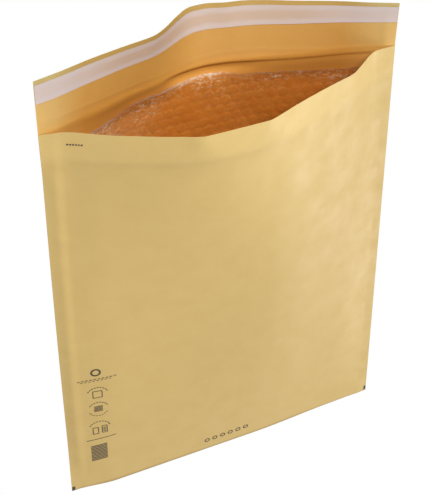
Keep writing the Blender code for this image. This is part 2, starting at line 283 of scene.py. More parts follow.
def narrowed(across, chord_share, mouth):
    """Places across: straight lines from the flat bottom to the chord at the mouth, with a slight bow."""
    bow = LEFT_BOW * np.sin(math.pi * mouth) * (1 - chord_share) / 2
    return across + (chord_share * MOUTH_CHORD / 2 + MOUTH_SHIFT - across) * mouth + bow


def seam_height(chord_share, mouth):
    """Height of a straight line from seam to seam, climbing from the fold to the mouth."""
    at_fold = PAPER_THICKNESS + PAD_HALF
    at_mouth = MOUTH_SEAM_LEFT + (MOUTH_SEAM_RIGHT - MOUTH_SEAM_LEFT) * (chord_share + 1) / 2
    return at_fold + (at_mouth - at_fold) * mouth


def puckers(across, along, seed):
    """Small ripples across the sides: a noise along each side, under a bell that is highest at the seal's
    inner line and gone 25 mm further in."""
    inside = SEAL_LINE - np.abs(across)
    near = bell(inside, np.where(inside > 0, PUCKER_REACH_IN, PUCKER_REACH_OUT))
    left = layered_noise(along, 0 * along, LEFT_PUCKERS, seed)
    right = layered_noise(along, 0 * along, RIGHT_PUCKERS, seed + 2)
    return near * np.where(across > 0, right, left)


def dents(across, along, seed):
    """Broad shallow waves where the sheet has been handled, from three sizes of soft noise, none at the
    seals."""
    inner = smooth_step((SEAL_LINE - np.abs(across)) / DENT_MARGIN)
    return inner * layered_noise(across + 1, along, DENTS, seed)


def front_surface(across, along):
    """Outer face of the front: straight lines from the fold to the mouth, on a section that turns from the
    pocket's into the mouth's, plus the pad's thickness, a crest beside the left seal, and at the left a
    low rise where the film inside ends, from which the bare paper falls to the mouth."""
    share = across / (WIDTH / 2)
    mouth = along / PANEL_LENGTH
    blur = EDGE_BLUR * smooth_step((PANEL_LENGTH - along) / EDGE_BLUR_LENGTH)
    deep_share, deep_bulge = section(FRONT_IN_POCKET, MOUTH_CHORD, MOUTH_BULGE, share)
    edge_share, edge_bulge = section(FRONT_AT_MOUTH, MOUTH_CHORD, MOUTH_BULGE, share, blur)
    blend = smooth_ramp(mouth, *MOUTH_SECTION)
    chord_share = deep_share + (edge_share - deep_share) * blend
    bulge = deep_bulge + (edge_bulge - deep_bulge) * blend
    inside = SEAL_LINE - np.abs(across)
    crest = bell(inside - CREST_INSIDE, CREST_WIDTH) * (across < 0) * smooth_step(along / CREST_FROM_FOLD)
    rise = smooth_ramp(along, *RISE_STARTS) - smooth_ramp(along, *RISE_ENDS)
    rise = rise * smooth_step(inside / RISE_MARGIN) * (1 - smooth_ramp(across, *RISE_FADES))
    z = seam_height(chord_share, mouth) + MOUTH_BULGE * bulge * mouth + pad_half(across, along)
    z = z + SEAL_CREST * crest + LINING_RISE * rise - seal_droop(across, along)
    z = z + puckers(across, along, 11) + dents(across, along, 21)
    y = FOLD_LINE + SEAM_LENGTH * mouth - MOUTH_BULGE * bulge * mouth * math.sin(AXIS_TILT)
    x = narrowed(across, chord_share, mouth) + DROOP_SHIFT * seal_droop(across, along)
    return np.stack([x, y, z], axis=-1)


def bend_depth(across, along):
    """How far the back dips below its bend, just under the crease of the flap. Right of the middle it is
    sharp: a tuck that starts in an S-curve and dies away exponentially, with a hollow under it, both
    easing to the right. Left of it there is one soft ripple with a crest above."""
    below = smooth_curve(BEND_LINE, across) - along
    eased = smooth_ramp(across, *BEND_EASES)
    tuck = TUCK_DEPTH * smooth_ramp(below, *TUCK_EDGE) * np.exp(-np.clip(below, 0, None) / TUCK_REACH)
    hollow = HOLLOW_DEPTH * bell(below - HOLLOW_BELOW, HOLLOW_WIDTH)
    above = along - smooth_curve(RIPPLE_LINE, across)
    ripple = RIPPLE_DEPTH * bell(above, RIPPLE_WIDTH)
    ripple = ripple - RIPPLE_CREST * bell(above - RIPPLE_CREST_ABOVE, RIPPLE_CREST_WIDTH)
    sharp = smooth_ramp(across, *BEND_SHARPENS)
    inner = smooth_step((WIDTH / 2 - np.abs(across)) / BEND_MARGIN)
    bend = tuck * (1 - TUCK_EASING * eased) + hollow * (1 - eased)
    return inner * (bend * sharp + ripple * (1 - sharp))


def back_surface(across, along):
    """Outer face of the back: flat on the floor down its middle, climbing to the seams at its sides by a
    power of the section's depth, and lifting to the crease of the flap, less the dip of its bend."""
    share = across / (WIDTH / 2)
    chord_share, pocket = section(BACK_IN_POCKET, MOUTH_CHORD, MOUTH_SEAM_LEFT, share)
    crease_share, crease = section(BACK_AT_CREASE, MOUTH_CHORD, MOUTH_SEAM_LEFT, share)
    mouth = along / PANEL_LENGTH
    blend = smooth_ramp(mouth, *CREASE_SECTION)
    chord_share = chord_share + (crease_share - chord_share) * blend
    depth = pocket + (crease - pocket) * blend
    flat = FLAT_SHARE * (1 - mouth)
    climb = np.clip((1 - depth - flat) / (1 - flat), 0, 1) ** (1 + FLAT_SHARE * (1 - blend))
    middle = pad_half(0 * across, along) + CREASE_LIFT * smooth_ramp(mouth, *CREASE_LIFTS)
    z = middle + (seam_height(chord_share, mouth) - middle) * climb - pad_half(across, along)
    off_floor = smooth_step(z / OFF_FLOOR)
    z = z - puckers(across, along, 31) + off_floor * dents(across, along, 41)
    z = z - bend_depth(across, along) - seal_droop(across, along)
    y = FOLD_LINE + SEAM_LENGTH * mouth + 0 * across
    x = narrowed(across, chord_share, mouth) + DROOP_SHIFT * seal_droop(across, along)
    return np.stack([x, y, np.maximum(z, 0)], axis=-1)


def flap_surface(across, along):
    """Outer face of the flap: straight lines from the crease down to the section of its free edge, with a
    fine raised score and faint dents."""
    start = back_surface(across, np.full_like(across, PANEL_LENGTH))
    chord_share, depth = section(FLAP_AT_TOP, FLAP_CHORD, FLAP_SEAM_LEFT, across / (WIDTH / 2))
    seam = FLAP_SEAM_LEFT + (FLAP_SEAM_RIGHT - FLAP_SEAM_LEFT) * (chord_share + 1) / 2
    z = seam * (1 - depth)
    middle = (FLAP_SEAM_LEFT + FLAP_SEAM_RIGHT) / 4
    y = FOLD_LINE + SEAM_LENGTH + FLAP_LENGTH * math.cos(FLAP_DROOP) - (z - middle) * math.sin(AXIS_TILT)
    end = np.stack([chord_share * FLAP_CHORD / 2, y, z], axis=-1)
    place = start + (end - start) * (along / FLAP_LENGTH)[..., None]
    score = SCORE_HEIGHT * bell(along - smooth_curve(SCORE_LINE, across), SCORE_WIDTH)
    waves = FLAP_DENTS * smooth_step(along / FLAP_DENTS_FROM) * dents(across, along, 43)
    return place + np.stack([0 * score, 0 * score, score + waves], axis=-1)


def fold_surface(across, turn):
    """Outer face of the bottom fold: half a circle from the front's edge, 0, to the back's, 1, with half
    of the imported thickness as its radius."""
    half = pad_half(across, 0 * across)
    angle = math.pi * (0.5 - turn)
    height = PAPER_THICKNESS + PAD_HALF + half * np.sin(angle)
    return np.stack([across, FOLD_LINE - half * np.cos(angle), height], axis=-1)


def inward(grid):
    """Unit normals of a grid whose rows run down the front and up the back, facing into the pocket."""
    along, across = np.gradient(grid, axis=0), np.gradient(grid, axis=1)
    normal = np.cross(across, along)
    return normal / np.linalg.norm(normal, axis=-1, keepdims=True)


def sheet_object(name, grid, flat, flip=False):
    """A mesh with a vertex at each point of a grid and a quad in each cell. flat holds each point's place
    on the flat sheet in metres, which becomes the UV map."""
    rows, columns = grid.shape[:2]
    number = np.arange(rows * columns).reshape(rows, columns)
    ring = [number[:-1, :-1], number[:-1, 1:], number[1:, 1:], number[1:, :-1]]
    quads = np.stack(ring[::-1] if flip else ring, axis=-1).reshape(-1, 4)
    mesh = bpy.data.meshes.new(name)
    mesh.vertices.add(rows * columns)
    mesh.vertices.foreach_set("co", grid.astype(np.float32).ravel())
    mesh.loops.add(quads.size)
    mesh.loops.foreach_set("vertex_index", quads.astype(np.int32).ravel())
    mesh.polygons.add(len(quads))
    mesh.polygons.foreach_set("loop_start", np.arange(0, quads.size, 4, dtype=np.int32))
    mesh.update(calc_edges=True)
    spread = flat.reshape(-1, 2)[quads.ravel()].astype(np.float32)
    mesh.uv_layers.new(name="sheet").data.foreach_set("uv", spread.ravel())
    mesh.shade_smooth()
    made = bpy.data.objects.new(name, mesh)
    bpy.context.scene.collection.objects.link(made)
    return made


def sharpen_rims(made):
    """Shades each cut edge of a thickened sheet apart from its faces: a split where two faces meet at more
    than the rim angle."""
    rims = made.modifiers.new("rims", "EDGE_SPLIT")
    rims.split_angle = RIM_ANGLE
    rims.use_edge_sharp = False


def linear(colour):
    """A hex sRGB colour as linear red, green, blue and alpha."""
    parts = [int(colour[i : i + 2], 16) / 255 for i in (1, 3, 5)]
    return [c / 12.92 if c <= 0.04045 else ((c + 0.055) / 1.055) ** 2.4 for c in parts] + [1.0]


def node(tree, kind, settings=(), links=()):
    """Adds a node, sets its properties and sockets by name, and links sockets from other nodes."""
    made = tree.nodes.new(kind)
    for key, value in dict(settings).items():
        if isinstance(key, str) and hasattr(made, key):
            setattr(made, key, value)
        else:
            made.inputs[key].default_value = value
    for key, source in dict(links).items():
        tree.links.new(source, made.inputs[key])
    return made


def new_material(name, settings):
    """A material with its node tree and its Principled shader, whose sockets are set by name."""
    material = bpy.data.materials.new(name)
    material.use_nodes = True
    shader = material.node_tree.nodes["Principled BSDF"]
    for key, value in settings.items():
        shader.inputs[key].default_value = value
    return material, material.node_tree, shader


def sheet_place(tree):
    """Each point's place on the flat sheet, in metres, from the UV map."""
    return node(tree, "ShaderNodeUVMap", {"uv_map": "sheet"}).outputs["UV"]


def cloud_noise(tree, place, scale, detail, roughness=0.5):
    """Noise from 0 to 1 whose largest cells are one over the scale, in metres."""
    settings = {"Scale": scale, "Detail": detail, "Roughness": roughness}
    return node(tree, "ShaderNodeTexNoise", settings, {"Vector": place}).outputs["Fac"]


def stretched(tree, place, factors):
    """A place with each of its axes multiplied by a factor."""
    return node(tree, "ShaderNodeMapping", {"Scale": factors}, {"Vector": place}).outputs[0]


def calculated(tree, operation, *values):
    """The result of a Math node on one to three values, each a number or another node's socket."""
    made = node(tree, "ShaderNodeMath", {"operation": operation})
    for socket, value in zip(made.inputs, values):
        if isinstance(value, (int, float)):
            socket.default_value = value
        else:
            tree.links.new(value, socket)
    return made.outputs[0]


def remapped(tree, source, given, wanted, curve="LINEAR"):
    """A value between the two wanted ones, as the source goes between the two given ones."""
    settings = {"interpolation_type": curve, 1: given[0], 2: given[1], 3: wanted[0], 4: wanted[1]}
    return node(tree, "ShaderNodeMapRange", settings, {0: source}).outputs[0]


def blended(tree, share, first, second):
    """A blend of two colours by the share of the second. Each is a hex code or another node's socket."""
    made = node(tree, "ShaderNodeMix", {"data_type": "RGBA"}, {0: share})
    for socket, colour in ((6, first), (7, second)):
        if isinstance(colour, str):
            made.inputs[socket].default_value = linear(colour)
        else:
            tree.links.new(colour, made.inputs[socket])
    return made.outputs[2]


def multiplied(tree, first, second):
    """The product of two colours."""
    settings = {"data_type": "RGBA", "blend_type": "MULTIPLY", 0: 1.0}
    return node(tree, "ShaderNodeMix", settings, {6: first, 7: second}).outputs[2]


def tone_ramp(tree, source, reach, stops):
    """A colour for each value of the source from 0 to the reach, with straight blends between stops."""
    ramp = node(tree, "ShaderNodeValToRGB", {}, {0: calculated(tree, "DIVIDE", source, reach)})
    elements = ramp.color_ramp.elements
    while len(elements) < len(stops):
        elements.new(0.5)
    for element, (place, colour) in zip(elements, stops):
        element.position = place / reach
        element.color = linear(colour)
    return ramp.outputs["Color"]


def bumped(tree, height, strength, distance):
    """A normal tilted by a height."""
    settings = {"Strength": strength, "Distance": distance}
    return node(tree, "ShaderNodeBump", settings, {"Height": height}).outputs[0]


def kraft(name, pale, deep, fibre, lengthways, sideways=()):
    """Kraft paper: pulp cloud 25 mm across, fibres 0.5 mm wide and 3 mm long along the web, and a machine
    glaze whose shine varies a little with the cloud. Its tone is multiplied by one ramp along the sheet
    and, where it is given, by one from the middle line to the sides, both by metres."""
    roughness = 0.60
    material, tree, shader = new_material(name, {"Roughness": roughness, "IOR": 1.47})
    place = sheet_place(tree)
    parts = node(tree, "ShaderNodeSeparateXYZ", {}, {0: place}).outputs
    cloud = cloud_noise(tree, place, scale=40.0, detail=3.0, roughness=0.6)
    drawn_out = stretched(tree, place, (2.2, 0.35, 1.0))
    fibres = cloud_noise(tree, drawn_out, scale=900.0, detail=4.0, roughness=0.7)
    specks = remapped(tree, fibres, given=(0.56, 0.78), wanted=(0.0, 0.5))
    tone = blended(tree, specks, blended(tree, cloud, pale, deep), fibre)
    tone = multiplied(tree, tone, tone_ramp(tree, parts["Y"], SHEET_END, lengthways))
    if sideways:
        off_middle = calculated(tree, "ABSOLUTE", parts["X"])
        tone = multiplied(tree, tone, tone_ramp(tree, off_middle, WIDTH / 2, sideways))
    tree.links.new(tone, shader.inputs["Base Color"])
    shine = remapped(tree, cloud, given=(0.3, 0.7), wanted=(roughness - 0.06, roughness + 0.08))
    tree.links.new(shine, shader.inputs["Roughness"])
    tree.links.new(bumped(tree, fibres, strength=0.25, distance=0.0002), shader.inputs["Normal"])
    return material


columns = np.concatenate([
    np.linspace(-WIDTH / 2, -SEAL_LINE, SEAL_CELLS + 1)[:-1],
    np.linspace(-SEAL_LINE, -SIDE_LINE, SIDE_CELLS + 1)[:-1],
    np.linspace(-SIDE_LINE, SIDE_LINE, round(2 * SIDE_LINE / PAPER_CELL) + 1),
    np.linspace(SIDE_LINE, SEAL_LINE, SIDE_CELLS + 1)[1:],
    np.linspace(SEAL_LINE, WIDTH / 2, SEAL_CELLS + 1)[1:],
])
panel_rows = np.concatenate([
    np.linspace(0, BACK_BEND - BEND_BAND, round((BACK_BEND - BEND_BAND) / PAPER_CELL) + 1),
    BACK_BEND + np.array(BEND_ROWS),
    [PANEL_LENGTH],
])
flap_rows = np.concatenate([
    np.arange(1, SCORE_ROWS + 1) * SCORE_CELL,
    np.linspace(SCORE_ROWS * SCORE_CELL, FLAP_LENGTH, FLAP_CELLS + 1)[1:],
])
fold_turns = np.arange(1, FOLD_CELLS) / FOLD_CELLS
paper_grid = np.concatenate([
    front_surface(*np.meshgrid(columns, panel_rows[::-1])),
    fold_surface(*np.meshgrid(columns, fold_turns)),
    back_surface(*np.meshgrid(columns, panel_rows)),
    flap_surface(*np.meshgrid(columns, flap_rows)),
])
paper_path = np.concatenate([
    PANEL_LENGTH - panel_rows[::-1],
    PANEL_LENGTH + fold_turns * FOLD_PATH,
    PANEL_LENGTH + FOLD_PATH + panel_rows,
    2 * PANEL_LENGTH + FOLD_PATH + flap_rows,
])
paper_flat = np.stack(np.meshgrid(columns, paper_path), axis=-1)
paper = sheet_object("envelope_paper", paper_grid, paper_flat, flip=True)
thicken = paper.modifiers.new("sheet", "SOLIDIFY")
thicken.thickness = SHEET_THICKNESS
thicken.offset = -1
thicken.material_offset = 1
sharpen_rims(paper)
PLAIN_TONE = "#FFFFFF"
# Painted shade: the outside over the lining is a touch darker than the bare paper at the mouth and the
# crease.
LINED_SHADE_TONE = "#F8F7F6"
# Painted shade: a darker band across the outside of the bottom fold, where the paper turns under away from
# the light.
FOLD_SHADE_TONE = "#BFB4A6"
outside = kraft(
    "glazed_kraft_outside", "#D8BA76", "#D0B16C", "#C1A05B",
    (
        (0, PLAIN_TONE), (0.026, PLAIN_TONE), (0.034, LINED_SHADE_TONE),
        (0.4805, LINED_SHADE_TONE), (0.4820, FOLD_SHADE_TONE), (0.4870, FOLD_SHADE_TONE), (0.4885, LINED_SHADE_TONE),
        (0.950, LINED_SHADE_TONE), (0.956, PLAIN_TONE),
    ),
)
# Painted light and shade on the inner face: its ramp along the sheet tints the pocket a deep orange for
# bounced light, tints the flap less and makes its top greyer. Its ramp across darkens and warms the middle
# and makes the last 17 mm at each side paler.
inside = kraft(
    "kraft_inside", "#ECC98B", "#E3BC7B", "#D4A569",
    (
        (0, "#FFE8C0"), (0.955, "#FFE8C0"), (0.968, "#FFE8BC"), (0.975, "#F3E4CC"), (1.004, "#F3E8D4"),
        (1.013, "#E4EAEC"), (SHEET_END, "#E0EAEC"),
    ),
    ((0, "#EBDBAE"), (0.135, "#EDDDB2"), (0.168, "#F8FBEE"), (WIDTH / 2, "#F8FBEE")),
)
paper.data.materials.append(outside)
paper.data.materials.append(inside)
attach(paper, "root")
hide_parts("front_panel", "back_panel", "closing_flap")


# Printed marks
# Small plain marks in black ink, such as a converter prints to line the sheet up and to show how it is
# handled: a corner block at each end of the fold, rings, bars and dashes, with no words in them.
INK_LIFT = 0.00015
DASH_SHARE = 0.62


def on_front(across, along, lift):
    """Points above the front's face: the surface plus its outward normal, from two small steps, times
    the lift."""
    step = 0.0005
    here = front_surface(across, along)
    sideways = front_surface(across + step, along) - here
    upwards = front_surface(across, along + step) - here
    normal = np.cross(sideways, upwards)
    return here + normal / np.linalg.norm(normal, axis=-1, keepdims=True) * lift


def ribbon(path, width):
    """Two rows of flat places: a path moved by half a width to each side along its own normal."""
    path = np.array(path, float)
    along = np.gradient(path, axis=0)
    side = np.stack([-along[:, 1], along[:, 0]], axis=-1)
    side = side / np.linalg.norm(side, axis=-1, keepdims=True) * width / 2
    return np.stack([path - side, path + side])


def line(start, end, width, points=12):
    """A straight ribbon from one flat place to another."""
    share = np.linspace(0, 1, points)[:, None]
    return ribbon(np.array(start) * (1 - share) + np.array(end) * share, width)


def arc(middle, radius, first, last, width, points=18):
    """A ribbon along part of a circle, between two angles in degrees."""
    turn = np.radians(np.linspace(first, last, points))
    return ribbon(np.array(middle) + radius * np.stack([np.cos(turn), np.sin(turn)], axis=-1), width)


def box_outline(middle, wide, high, width):
    """Four ribbons round a rectangle."""
    x, y = middle
    left, right, bottom, top = x - wide / 2, x + wide / 2, y - high / 2, y + high / 2
    corners = [(left, bottom), (right, bottom), (right, top), (left, top)]
    return [line(corners[n - 1], corners[n], width, 6) for n in range(4)]


def dashes(middle, radius, first, last, count, width):
    """Short ribbons spaced evenly along part of a circle, each over its share of the spacing."""
    turns = np.linspace(first, last, count + 1)
    length = (last - first) / count * DASH_SHARE
    return [arc(middle, radius, turn, turn + length, width, 4) for turn in turns[:-1]]


def dash_row(start, end, step, count, width, points=3):
    """Straight ribbons, each moved from the one before by the step."""
    start, end, step = np.array(start), np.array(end), np.array(step)
    return [line(start + n * step, end + n * step, width, points) for n in range(count)]


marks = [
    line((-0.1830, 0.0008), (-0.1830, 0.0066), 0.0036, 5),
    line((0.1834, 0.0014), (0.1834, 0.0080), 0.0028, 5),
    *dash_row((-0.1625, 0.4672), (-0.1610, 0.4684), (0.0024, 0), 6, 0.0013),
    arc((-0.1495, 0.1835), 0.0044, 0, 360, 0.0019, 40),
    *dash_row((-0.1690, 0.1727), (-0.1662, 0.1728), (0.0042, 0.00016), 10, 0.0011),
    *dash_row((-0.1660, 0.1704), (-0.1634, 0.1705), (0.0042, 0.00016), 8, 0.0008),
    *dashes((-0.149, 0.1495), 0.0110, 20, 160, 9, 0.0012),
    *box_outline((-0.149, 0.1500), 0.0095, 0.0100, 0.0009),
    *dashes((-0.149, 0.1270), 0.0105, 25, 155, 8, 0.0012),
    *dashes((-0.149, 0.1270), 0.0105, 205, 335, 8, 0.0008),
    *dash_row((-0.1535, 0.1235), (-0.1445, 0.1240), (0, 0.0015), 6, 0.0009, 4),
    *dashes((-0.149, 0.0955), 0.0115, 20, 160, 9, 0.0012),
    *box_outline((-0.1535, 0.0925), 0.0058, 0.0100, 0.0009),
    *box_outline((-0.1440, 0.0935), 0.0052, 0.0110, 0.0009),
    *dash_row((-0.1440, 0.0900), (-0.1440, 0.0909), (0, 0.0018), 4, 0.0030),
    line((-0.1640, 0.0775), (-0.1320, 0.0800), 0.0009),
    *dash_row((-0.1600, 0.0430), (-0.1425, 0.0445), (0, 0.0024), 11, 0.0015, 6),
    *[arc((-0.0250 + n * 0.0095, 0.0150 + n * 0.0004), 0.0026, 0, 360, 0.0013, 20) for n in range(6)],
]
flat_places = np.concatenate([mark.reshape(-1, 2) for mark in marks])
ink_quads = []
used = 0
for mark in marks:
    count = mark.shape[1]
    first = used + np.arange(count - 1)
    ink_quads.append(np.stack([first, first + 1, first + count + 1, first + count], axis=-1)[:, ::-1])
    used += 2 * count
ink_places = on_front(flat_places[:, 0], flat_places[:, 1], INK_LIFT)
print_mesh = bpy.data.meshes.new("printed_marks")
print_mesh.from_pydata(ink_places.tolist(), [], np.concatenate(ink_quads).tolist())
printed = bpy.data.objects.new("printed_marks", print_mesh)
bpy.context.scene.collection.objects.link(printed)
ink, ink_tree, ink_shader = new_material("flexo_ink", {"Roughness": 0.6, "Alpha": 0.95})
ink_place = node(ink_tree, "ShaderNodeTexCoord").outputs["Object"]
ink_cloud = cloud_noise(ink_tree, ink_place, scale=700.0, detail=2.0)
ink_tree.links.new(blended(ink_tree, ink_cloud, "#1C1A18", "#4A4030"), ink_shader.inputs["Base Color"])
print_mesh.materials.append(ink)
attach(printed, "root")


# Bubble lining
# Polyethylene bubble film, heat-sealed in at both sides, with its bubbles facing into the pocket. Each
# bubble is a low flat-topped drum on a staggered grid, with a painted highlight ring on its shoulder.
BUBBLE_PITCH = 0.0115
BUBBLE_RADIUS = 0.0053
BUBBLE_SHOULDER = 0.0020
BUBBLE_HEIGHT = 0.00045
LEAST_FULLNESS = 0.45
OUTLINE_WOBBLE = 0.0005
OUTLINE_CELL = 0.0045
SLACK = 0.25
SLACK_CELL = 0.0036
PLAIN_MARGIN = 0.0045
PLAIN_TO_FULL = 0.004
FILM_DEPTH = 0.0007
LEAST_ROOM = 0.0001
OPENING_SLOPE = 0.25
LINING_HALF = SEAL_LINE - 0.006
OPENING_HALF = LINING_HALF + 0.004
LINING_LOWEST = 0.002
LINING_END = PANEL_LENGTH - 0.014
FRONT_LINING_TOP = ((-0.17, 0.446), (0, 0.447), (0.17, 0.445))
BACK_LINING_TOP = (
    (-0.17, 0.4535), (-0.140, 0.4575), (-0.118, 0.4592), (-0.100, 0.4608), (-0.085, 0.4640),
    (-0.074, 0.4665), (-0.014, 0.469), (0.009, 0.469), (0.0405, 0.465), (0.075, 0.463), (0.124, 0.460),
    (0.158, 0.459), (0.17, 0.459),
)
CUT_WOBBLE = 0.0008
CUT_CELL = 0.006
CRINKLE_HEIGHT = 0.00025
CRINKLE_CELL = 0.005
FINE_CRINKLE = 0.5
FINE_CRINKLE_CELL = 0.0024
PLEAT_CELL = 0.0052
PLEAT_FACTORS = (0.35, 1.6)
PLEAT_CRINKLE = 0.4
PLEAT_SHIFT = 0.1
PATCH_CELL = 0.016
PATCHES = (0.55, 0.45)
LOOSE_HEIGHT = 0.0005
LOOSE_CELL = 0.022
CURL_HEIGHT = 0.0012
CURL_REACH = 0.004
FINE_DEPTH = 0.170
FINE_CELL = 0.00115
COARSE_CELL = 0.0026
LINE_WIDTH = 0.10
LEFT_SIDE = (0.02, 0.11)
RIM_SIDE = (-0.01, 0.04)
EDGE_REACH = 0.014
RING_REACH = 0.025
RIM_REACH = 0.0026
# Painted highlight and shade in the film: how pale its pleats, creases, rings, rim, plain margin and left
# side are painted, and how much of that dims deeper in the pocket.
PLEAT_GLINT = 1.7
CREASE_GLINT = (0.40, 0.60, 0.50)
RING_GLINT = (0.20, 0.45, 0.10)
RIM_GLINT = (0.40, 0.45)
MARGIN_GLINT = 0.12
LEFT_GLINT = 0.28
DIMMING = 0.5
DIMMING_STARTS = (0.012, 0.042)


def bubble_shape(across, along, seed):
    """Height over the film and strength of its ring of painted highlight. The height is 1 on a drum's top,
    an S-curve down its shoulder and 0 between drums, times the drum's own fullness; the ring is four times
    the curve times what it lacks to 1."""
    row_pitch = BUBBLE_PITCH * math.sqrt(3) / 2
    best = np.full(across.shape, np.inf)
    fullness = np.zeros(across.shape)
    table = np.random.default_rng(seed).uniform(LEAST_FULLNESS, 1.0, (NOISE_TABLE, NOISE_TABLE))
    for parity in (0, 1):
        row = 2 * np.round((along / row_pitch - parity) / 2) + parity
        column = np.round(across / BUBBLE_PITCH - parity / 2) + parity / 2
        away = np.hypot(across - column * BUBBLE_PITCH, along - row * row_pitch)
        nearer = away < best
        best = np.where(nearer, away, best)
        own = table[row.astype(int) % NOISE_TABLE, np.floor(column).astype(int) % NOISE_TABLE]
        fullness = np.where(nearer, own, fullness)
    wobble = OUTLINE_WOBBLE * soft_noise(across, along, OUTLINE_CELL, seed + 4)
    curve = smooth_step((BUBBLE_RADIUS + wobble - best) / BUBBLE_SHOULDER)
    slack = 1 + SLACK * soft_noise(across, along, SLACK_CELL, seed + 1)
    return curve * fullness * slack, 4 * curve * (1 - curve) * fullness


def film_lines(place, along, drop, seed):
    """Two noises that are 0 along the creases and along the pleats of the film. The pleats' own is drawn
    out across the film and squeezed down it, and takes up a share of the creases'."""
    crinkle = soft_noise(place, along, CRINKLE_CELL, seed + 2)
    crinkle = np.abs(crinkle + FINE_CRINKLE * soft_noise(place, along, FINE_CRINKLE_CELL, seed + 6))
    wide, short = PLEAT_FACTORS
    pleat = soft_noise(place * wide, drop * short, PLEAT_CELL, seed + 8)
    return crinkle, np.abs(pleat + PLEAT_CRINKLE * crinkle - PLEAT_SHIFT)


def film_glint(place, drop, pleat, crinkle, ring, filled, patchy):
    """Share of milky white in the film, 0 to 1: painted highlight on its pleats, creases, rings and cut
    rim, with the real whitening of creased film in it too. Pleats and creases are bells on the lines where
    their noises cross 0. With the rings they are patchy, brightest at the cut edge, and dimmed below it
    except at the left, as painted light and shade. The rim, the plain margin and the left side add to them,
    the left side as painted light."""
    leftness = smooth_ramp(-place, *LEFT_SIDE)
    at_edge = np.exp(-((drop / EDGE_REACH) ** 1.5))
    pleats = PLEAT_GLINT * bell(pleat, LINE_WIDTH) * at_edge
    everywhere, edge, left = CREASE_GLINT
    creases = bell(crinkle, LINE_WIDTH) * (everywhere + edge * at_edge + left * leftness)
    everywhere, edge, left = RING_GLINT
    rings = ring * filled * (everywhere + edge * bell(drop, RING_REACH) + left * leftness)
    everywhere, left = RIM_GLINT
    rim = bell(drop, RIM_REACH) * (everywhere + left * smooth_ramp(-place, *RIM_SIDE))
    dim = DIMMING * smooth_ramp(drop, *DIMMING_STARTS) * (1 - leftness)
    glint = (pleats + creases + rings) * patchy * (1 - dim) + rim
    return np.clip(glint + MARGIN_GLINT * (1 - filled) + LEFT_GLINT * leftness, 0, 1)


def lining_film(surface, top, seed, facing):
    """Film inside one panel: points on the paper's face moved in along its normal by the film's depth,
    its drums, its crinkle and its slack, which grows to a curl at the cut edge. Its rows are close together
    near the mouth and wider apart deep down. Also each point's flat place and its glint."""
    across = np.linspace(-LINING_HALF, LINING_HALF, round(2 * LINING_HALF / FINE_CELL) + 1)
    fine = np.linspace(0, FINE_DEPTH, round(FINE_DEPTH / FINE_CELL) + 1)
    deep = np.arange(FINE_DEPTH + COARSE_CELL, LINING_END, COARSE_CELL)
    below = np.concatenate([fine, deep])
    place, drop = np.meshgrid(across, below)
    edge = smooth_curve(top, place) + CUT_WOBBLE * soft_noise(place, 0 * place, CUT_CELL, seed + 5)
    along = LINING_LOWEST + (edge - LINING_LOWEST) * (1 - drop / below[-1])
    base = surface(place, along)
    height, ring = bubble_shape(place, along, seed)
    room = pad_half(place, along) - PAPER_THICKNESS - FILM_DEPTH
    opening = OPENING_SLOPE * np.clip(OPENING_HALF - np.abs(place), 0, None) * along / PANEL_LENGTH
    filled = smooth_step((drop - PLAIN_MARGIN) / PLAIN_TO_FULL)
    height = height * filled * np.minimum(BUBBLE_HEIGHT, np.clip(room + opening, LEAST_ROOM, None))
    crinkle, pleat = film_lines(place, along, drop, seed)
    loose = LOOSE_HEIGHT * (1 + soft_noise(place, along, LOOSE_CELL, seed + 3))
    loose = loose + CURL_HEIGHT * np.exp(-drop / CURL_REACH)
    lift = FILM_DEPTH + height + CRINKLE_HEIGHT * crinkle + loose
    points = base + inward(base) * facing * lift[..., None]
    patchy = PATCHES[0] + PATCHES[1] * soft_noise(place, along, PATCH_CELL, seed + 7)
    glint = film_glint(place, drop, pleat, crinkle, ring, filled, patchy)
    return points, np.stack([place, along], axis=-1), glint


def bubble_film():
    """Clear polyethylene over brown paper: glossy, tinted by the paper under it to a deep orange that is
    partly painted bounce light, and paler by its glint, a painted highlight, from a warm tan to milky
    white."""
    material, tree, shader = new_material(
        "polyethylene_film", {"Roughness": 0.14, "IOR": 1.51, "Alpha": 0.62, "Specular IOR Level": 0.8}
    )
    place = sheet_place(tree)
    cloud = cloud_noise(tree, place, scale=90.0, detail=4.0, roughness=0.65)
    # Painted bounce light: the clear film's own tone is a deep orange, for the warm light inside the
    # pocket.
    tone = blended(tree, cloud, "#D87412", "#EA9A44")
    glint = node(tree, "ShaderNodeAttribute", {"attribute_name": "glint"}).outputs["Fac"]
    # Painted highlight: the glint paints the film pale on its rings, creases, pleats and cut rim.
    paleness = tone_ramp(tree, glint, 1.0, ((0, "#F6C27C"), (0.5, "#FAD6A0"), (1, "#FFF3E0")))
    tree.links.new(blended(tree, glint, tone, paleness), shader.inputs["Base Color"])
    ripple = cloud_noise(tree, place, scale=330.0, detail=2.0)
    tree.links.new(bumped(tree, ripple, strength=0.4, distance=0.0006), shader.inputs["Normal"])
    return material


film = bubble_film()
for name, surface, top, seed, facing in (
    ("front_bubble_film", front_surface, FRONT_LINING_TOP, 51, 1),
    ("back_bubble_film", back_surface, BACK_LINING_TOP, 61, -1),
):
    grid, flat, glint = lining_film(surface, top, seed, facing)
    lining = sheet_object(name, grid, flat, flip=facing > 0)
    strengths = lining.data.attributes.new("glint", "FLOAT", "POINT")
    strengths.data.foreach_set("value", glint.astype(np.float32).ravel())
    lining.data.materials.append(film)
    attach(lining, "root")
    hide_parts("bubble_lining")


